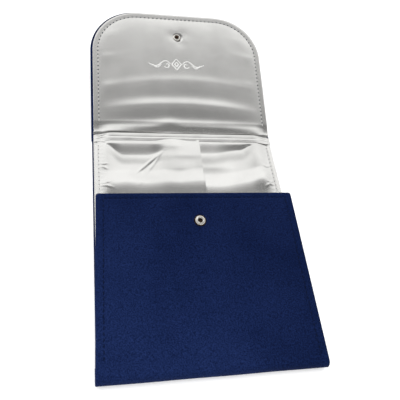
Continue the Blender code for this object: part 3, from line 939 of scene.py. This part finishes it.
# -------- stitching

UP = np.array([0.0, 0.0, 1.0])
FLAP_UP = np.array([0.0, -math.sin(FLAP_ANGLE), math.cos(FLAP_ANGLE)])
FRONT_UP = np.array([0.0, -math.sin(FRONT_ANGLE), math.cos(FRONT_ANGLE)])


def flap_seam_path():
    """Round the flap, from one end of the fold to the other, on the satin."""
    half = HALF_WIDTH - STITCH_INSET
    reach = FLAP_RADIUS - STITCH_INSET
    length = FLAP_LENGTH - STITCH_INSET
    straight = np.arange(7 * MM, length - reach, MM)
    arc = np.linspace(0.0, pi / 2, 60)
    side = [(half, y) for y in straight]
    side += [(half - reach + reach * math.cos(a), length - reach + reach * math.sin(a)) for a in arc]
    outline = np.array(side + [(-x, y) for x, y in reversed(side)])
    x, y = outline.T
    z = flap_satin_height(x, y)
    return fold_over_flap(stacked(x + SATIN_SHIFT, y + BACK_LENGTH, z))


def front_seam_path():
    """Up one side of the front, along its mouth and down the other side, on the suede."""

    def half(y):
        return HALF_WIDTH - STITCH_INSET - FRONT_MOUTH_INSET * y / FRONT_LENGTH

    top = FRONT_LENGTH - MOUTH_STITCH_INSET
    side = [(half(y), y) for y in np.arange(12 * MM, top, MM)] + [(half(top), top)]
    across = [(x, top) for x in np.arange(half(top) - MM, -half(top), -MM)]
    outline = np.array(side + across + [(-x, y) for x, y in reversed(side)])
    x, y = outline.T
    return front_point(stacked(x, y, front_relief(x, y)))


def pocket_seam_path(side, sign):
    y = np.arange(left_low[1] + 2 * MM, HEM_START - MM, MM)
    x = np.full(y.shape, sign * (HALF_WIDTH - STITCH_INSET))
    return placed(stacked(x, y, pocket_height(x, y, side)), BACK)


def build_bar_tack(side, sign):
    """A short knot of tight stitches across the pocket seam, just above the mouth."""
    shapes = []
    y = (tack_low[1] + tack_high[1]) / 2
    for step in range(4):
        x = sign * (HALF_WIDTH - STITCH_INSET) + (step - 1.5) * 0.5 * MM
        share = np.linspace(-1, 1, 7)
        line = y + share * 1.1 * MM
        z = pocket_height(np.full(7, x), line, side) + 0.5 * MM * (1 - share**2) - 0.05 * MM
        path = placed(stacked(np.full(7, x), line, z), BACK)
        shapes.append(tube(path, 0.36 * MM * (1 - 0.4 * share**4), UP))
    return join_shapes(f"{side}_bar_tack", shapes, navy_thread_and_hole_shade)


# -------- snap fastener


def build_snap():
    """Stud and cap on the flap, socket and eyelet on the front. Profiles are in mm."""
    base = stud_low[2] / MM
    stud = [(0.0, base), (3.4, base)]
    stud += arc_points(3.35, base + 0.25, 0.20, -90, 80)
    stud += [(3.25, base + 0.50)]
    stud += arc_points(2.65, base + 0.62, 0.55, 0, 150, 10)
    stud += [(2.0, base + 0.6), (1.95, base + 0.45), (0.0, base + 0.45)]
    pieces = {}
    center = (0.0, STUD_REACH)
    pieces["stud"] = turned("snap_stud", stud, center, FLAP, nickel, steps=96)

    # A near-black ring round the stud's flange: painted shade in the groove there.
    recess = [(3.3, base + 0.02), (3.85, base + 0.02), (3.95, base + 0.12)]
    recess += [(3.85, base + 0.2), (3.3, base + 0.16)]
    pieces["recess"] = turned("snap_stud_recess", recess, center, FLAP, painted_shade_metal, closed=True, steps=96)

    # A near-black star in the middle of the stud: painted shade in the rivet's hollow end.
    star = [(0.0, base + 0.5), (2.3, base + 0.5), (2.3, base + 1.0), (2.0, base + 1.25), (0.0, base + 0.95)]
    pieces["star"] = turned("snap_rivet_end", star, center, FLAP, painted_shade_metal, steps=80, knurl=(5, 0.6, 0.5))

    dome = [(0.0, -0.3), (5.7, -0.3)] + arc_points(5.6, -0.7, 0.4, 90, -60)
    dome += [(5.2 * math.cos(a), -0.75 - 1.15 * math.sin(a)) for a in np.linspace(0.25, pi / 2, 12)]
    pieces["cap"] = turned("snap_cap", dome, center, FLAP, nickel, steps=96)

    ring = [(1.9, -0.75)] + arc_points(3.70, -0.40, 0.38, -90, 110)
    ring += [(3.4, -0.10)]
    ring += arc_points(2.7, -0.05, 0.75, 5, 170, 12)
    ring += [(1.9, 0.0), (1.8, -0.3)]
    center = (0.0, SOCKET_REACH)
    pieces["socket"] = turned(
        "snap_socket", ring, center, FRONT, nickel, closed=True, steps=144, knurl=(24, 0.18, 3.5)
    )
    # A near-black ring round the socket: painted shadow where the suede dips round it.
    collar = [(3.9, -0.72), (4.75, -0.72), (4.9, -0.62), (4.75, -0.55), (3.9, -0.60)]
    pieces["collar"] = turned("snap_socket_recess", collar, center, FRONT, painted_shade_metal, closed=True, steps=96)
    # The eyelet is near-black where it shows through the socket's hole: painted shade in the hole.
    bottom = -(RIM_HEIGHT / MM) + 0.7
    eyelet = [(0.0, -0.62), (1.75, -0.62), (1.80, -0.35), (1.95, -0.35), (2.1, -0.9), (2.1, bottom + 0.5)]
    eyelet += [(4.2, bottom + 0.5), (4.2, bottom), (0.0, bottom)]
    pieces["eyelet"] = turned("snap_eyelet", eyelet, center, FRONT, painted_shade_metal)
    return pieces


# -------- ornament


def ornament_lines():
    """A plain lozenge between two tapering scrolls, as lines of points in mm about its middle."""
    lozenge = [(0, 6.0), (4.6, 0), (0, -6.0), (-4.6, 0), (0, 6.0)]
    inner = [(0, 2.6), (1.8, 0), (0, -2.6), (-1.8, 0), (0, 2.6)]
    lines = [dense(lozenge), dense(inner)]
    share = np.linspace(0, 1, 60)
    for sign in (-1, 1):
        wave = 4.0 * np.sin(2.1 * pi * share) * (1 - 0.6 * share)
        long = np.stack([sign * (5.5 + 21.5 * share), wave], 1)
        turn = 0.3 + 1.75 * pi * share
        size = 3.0 * (1 - 0.7 * share)
        curl = np.stack([sign * (9.2 + size * np.cos(turn)), -1.2 - size * np.sin(turn)], 1)
        leaf = np.stack([sign * (15 + 8 * share), -0.6 - 3.2 * np.sin(pi * share)], 1)
        lines += [long, curl, leaf]
    return lines


def dense(corners):
    """A line of points with more of them between its corners."""
    out = []
    for (ax, ay), (bx, by) in zip(corners, corners[1:]):
        for share in np.linspace(0, 1, 9)[:-1]:
            out.append((ax + share * (bx - ax), ay + share * (by - ay)))
    return np.array(out + [corners[-1]])


def build_ornament():
    shapes = []
    for line in ornament_lines():
        x = ORNAMENT_X + line[:, 0] * MM
        y = ORNAMENT_Y + line[:, 1] * MM
        z = flap_satin_height(x - SATIN_SHIFT, y) - SATIN * 0.2
        path = fold_over_flap(stacked(x, y + BACK_LENGTH, z))
        share = np.linspace(0, 1, len(line))
        radii = 0.75 * MM * (0.45 + 0.55 * np.sin(pi * share) ** 0.5)
        shapes.append(tube(path, radii, FLAP_UP, sides=8))
    return join_shapes("flap_ornament", shapes, foil)


# -------- assembly


def stands_for(piece, slot, *nodes):
    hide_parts(*nodes)


def assemble_covers():
    cover = build_back_and_flap_cover()
    stands_for(cover, "suede_navy", "back_outer_cover", "flap_fold_cover", "flap_outer_cover")
    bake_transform(cover)

    front = build_front_cover()
    stands_for(front, "suede_navy", "front_outer_cover", "bottom_fold_cover")
    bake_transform(front)


def assemble_linings():
    flap_satin = build_flap_satin()
    stands_for(flap_satin, "satin_silver", "flap_satin_lining")
    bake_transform(flap_satin)

    hem, hem_cut = build_top_hem()
    stands_for(hem, "satin_silver", "flap_fold_lining")
    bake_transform(hem)

    lining = build_back_lining()
    stands_for(lining, "satin_silver", "back_satin_lining")
    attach(lining, "back")

    front = build_front_lining()
    stands_for(front, "satin_silver", "front_satin_lining", "bottom_fold_lining")
    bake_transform(front)

    for side, sign in (("left", -1), ("right", 1)):
        gusset = build_gusset(side, sign)
        stands_for(gusset, "satin_silver", f"{side}_gusset")
        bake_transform(gusset)


def assemble_pockets():
    span = {"left": (left_low[0], left_high[0]), "right": (right_low[0], right_high[0])}
    for side, sign in (("right", 1), ("left", -1)):
        low, high = span[side]
        pocket = build_pocket(f"{side}_pocket_satin", low, high, side)
        stands_for(pocket, "satin_silver", f"{side}_pocket_panel")
        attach(pocket, "back")
        path = pocket_seam_path(side, sign)
        seam = build_stitches(f"{side}_pocket_stitches", path, UP, white_thread)
        stands_for(seam, "thread_white", f"{side}_pocket_seam_thread")
        # Dark loops at the needle holes: painted shade.
        holes = build_needle_holes(f"{side}_pocket_needle_hole_shade", path, UP, navy_thread_and_hole_shade, 0.42 * MM)
        tack = build_bar_tack(side, sign)
        stands_for(tack, "thread_navy", f"{side}_mouth_bar_tack")
        for piece in (seam, holes, tack):
            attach(piece, "back")
        for piece in (pocket, seam, holes, tack):
            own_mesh(piece)


def assemble_seams():
    path = flap_seam_path()
    seam = build_stitches("flap_stitches", path, FLAP_UP, white_thread)
    stands_for(seam, "thread_white", "flap_seam_thread")
    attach(seam, "flap")
    # Dark loops at the needle holes: painted shade.
    holes = build_needle_holes("flap_needle_hole_shade", path, FLAP_UP, navy_thread_and_hole_shade, 0.70 * MM)
    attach(holes, "flap")
    seam = build_stitches("front_stitches", front_seam_path(), FRONT_UP, navy_thread_and_hole_shade, radius=0.30 * MM)
    stands_for(seam, "thread_navy", "front_seam_thread")
    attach(seam, "front")
    ornament = build_ornament()
    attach(ornament, "flap")


def assemble_snap():
    pieces = build_snap()
    for key, node, body in (
        ("stud", "flap_snap_stud", "flap"),
        ("cap", "flap_snap_cap", "flap"),
        ("socket", "front_snap_socket", "front"),
        ("eyelet", "front_snap_eyelet", "front"),
    ):
        stands_for(pieces[key], "snap_nickel", node)
        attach(pieces[key], body)
    for key in ("star", "recess"):
        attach(pieces[key], "flap")
    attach(pieces["collar"], "front")


assemble_covers()
assemble_linings()
assemble_pockets()
assemble_seams()
assemble_snap()

LOOKS = {
    "suede_navy": suede,
    "satin_silver": satin,
    "board_grey": board,
    "foam_white": foam,
    "thread_navy": navy_thread_and_hole_shade,
    "thread_white": white_thread,
    "snap_nickel": nickel,
}
for obj in frame["nodes"].values():
    for slot in obj.material_slots:
        name = slot.material.name.split(".")[0] if slot.material else ""
        slot.material = LOOKS.get(name, satin)


# -------- studio

WORLD_STRENGTH = 1.2
SIDE_GREY = (0.52, 0.52, 0.52)

# Brightness by the angle in degrees from the level behind the object, over its top, to the level in front
LIGHT_BY_CLIMB = (
    (0, 0.84), (40, 0.93), (54, 0.90), (58, 0.84), (61, 0.78), (64, 0.70), (67, 0.57), (70, 0.47),
    (74, 0.36), (77, 0.27), (80, 0.17), (84, 0.12), (95, 0.09), (118, 0.14), (145, 0.34), (179, 0.40),
)

FILL_PLACE = (-0.2, -0.1, 1.6)
FILL_SIZE = 2.6
FILL_POWER = 44.0

FLOOR_HALF = 6.0

# The camera, from the fit of the panels' edges. The shift comes from the picture centre of that fit.
FOCAL_LENGTH = 41.52
SENSOR_WIDTH = 36.0
CAMERA_SHIFT = (0.05, 0.0125)
CAMERA_PLACE = (-0.08535, -0.22117, 0.32715)
CAMERA_TURN = (31.01, -9.344, -6.228)  # degrees


def build_floor():
    material, tree, shader = new_material(
        "white_floor", Roughness=0.9, Specular_IOR_Level=0.1, Emission_Strength=0.2
    )
    paint(tree, shader, noise(tree, coordinates(tree), 3.0), (0.93, 0.93, 0.93), (0.95, 0.95, 0.95))
    half = FLOOR_HALF
    corners = [(-half, -half, 0.0), (half, -half, 0.0), (half, half, 0.0), (-half, half, 0.0)]
    floor = add_object("floor", corners, [(0, 1, 2, 3)], material)
    floor.location.z = -0.05 * MM


def add_fill_light():
    """A large soft lamp above the object, which reflections don't show."""
    light = bpy.data.lights.new("top_fill", "AREA")
    light.shape = "RECTANGLE"
    light.size = FILL_SIZE
    light.size_y = FILL_SIZE
    light.energy = FILL_POWER
    lamp = put("top_fill", light)
    lamp.location = FILL_PLACE
    lamp.rotation_euler = (-Vector(FILL_PLACE)).to_track_quat("-Z", "Y").to_euler()
    lamp.visible_glossy = False


def light_all_round(tree):
    """Light that is bright behind the object, dark overhead, dim in front and an even grey at the sides."""
    background = tree.nodes["Background"]
    background.inputs["Strength"].default_value = WORLD_STRENGTH
    place = add_node(tree, "TexCoord")
    parts = add_node(tree, "SeparateXYZ", [("Vector", place.outputs["Generated"])])
    climb = calculated(tree, "ARCTAN2", parts.outputs["Z"], parts.outputs["Y"])
    share = map_range(tree, climb, From_Max=pi)
    ramp = tree.nodes.new("ShaderNodeValToRGB")
    stops = ramp.color_ramp.elements
    for number, (degrees, level) in enumerate(LIGHT_BY_CLIMB):
        stop = stops[0] if number == 0 else stops.new(degrees / 180)
        stop.position = degrees / 180
        stop.color = (level, level, level, 1.0)
    stops.remove(stops[-1])
    tree.links.new(share, ramp.inputs["Fac"])
    aside = calculated(tree, "ABSOLUTE", parts.outputs["X"])
    edge = map_range(
        tree, aside, interpolation_type="SMOOTHSTEP", From_Min=0.50, From_Max=0.98, To_Min=1.0, To_Max=0.68
    )
    product = mixed(tree, 1.0, ramp.outputs["Color"], edge, "MULTIPLY")
    far = map_range(tree, aside, interpolation_type="SMOOTHSTEP", From_Min=0.84, From_Max=0.97)
    tree.links.new(mixed(tree, far, product, SIDE_GREY), background.inputs["Color"])


def build_studio():
    scene = bpy.context.scene
    world = bpy.data.worlds.new("studio")
    world.use_nodes = True
    light_all_round(world.node_tree)
    scene.world = world
    scene.view_settings.view_transform = "Standard"
    scene.view_settings.look = "None"
    add_fill_light()


def build_camera():
    data = bpy.data.cameras.new("camera")
    data.lens = FOCAL_LENGTH
    data.sensor_width = SENSOR_WIDTH
    data.shift_x, data.shift_y = CAMERA_SHIFT
    data.clip_start = 0.01
    camera = put("camera", data)
    camera.location = CAMERA_PLACE
    camera.rotation_euler = [math.radians(angle) for angle in CAMERA_TURN]
    bpy.context.scene.camera = camera


build_floor()
build_studio()
build_camera()
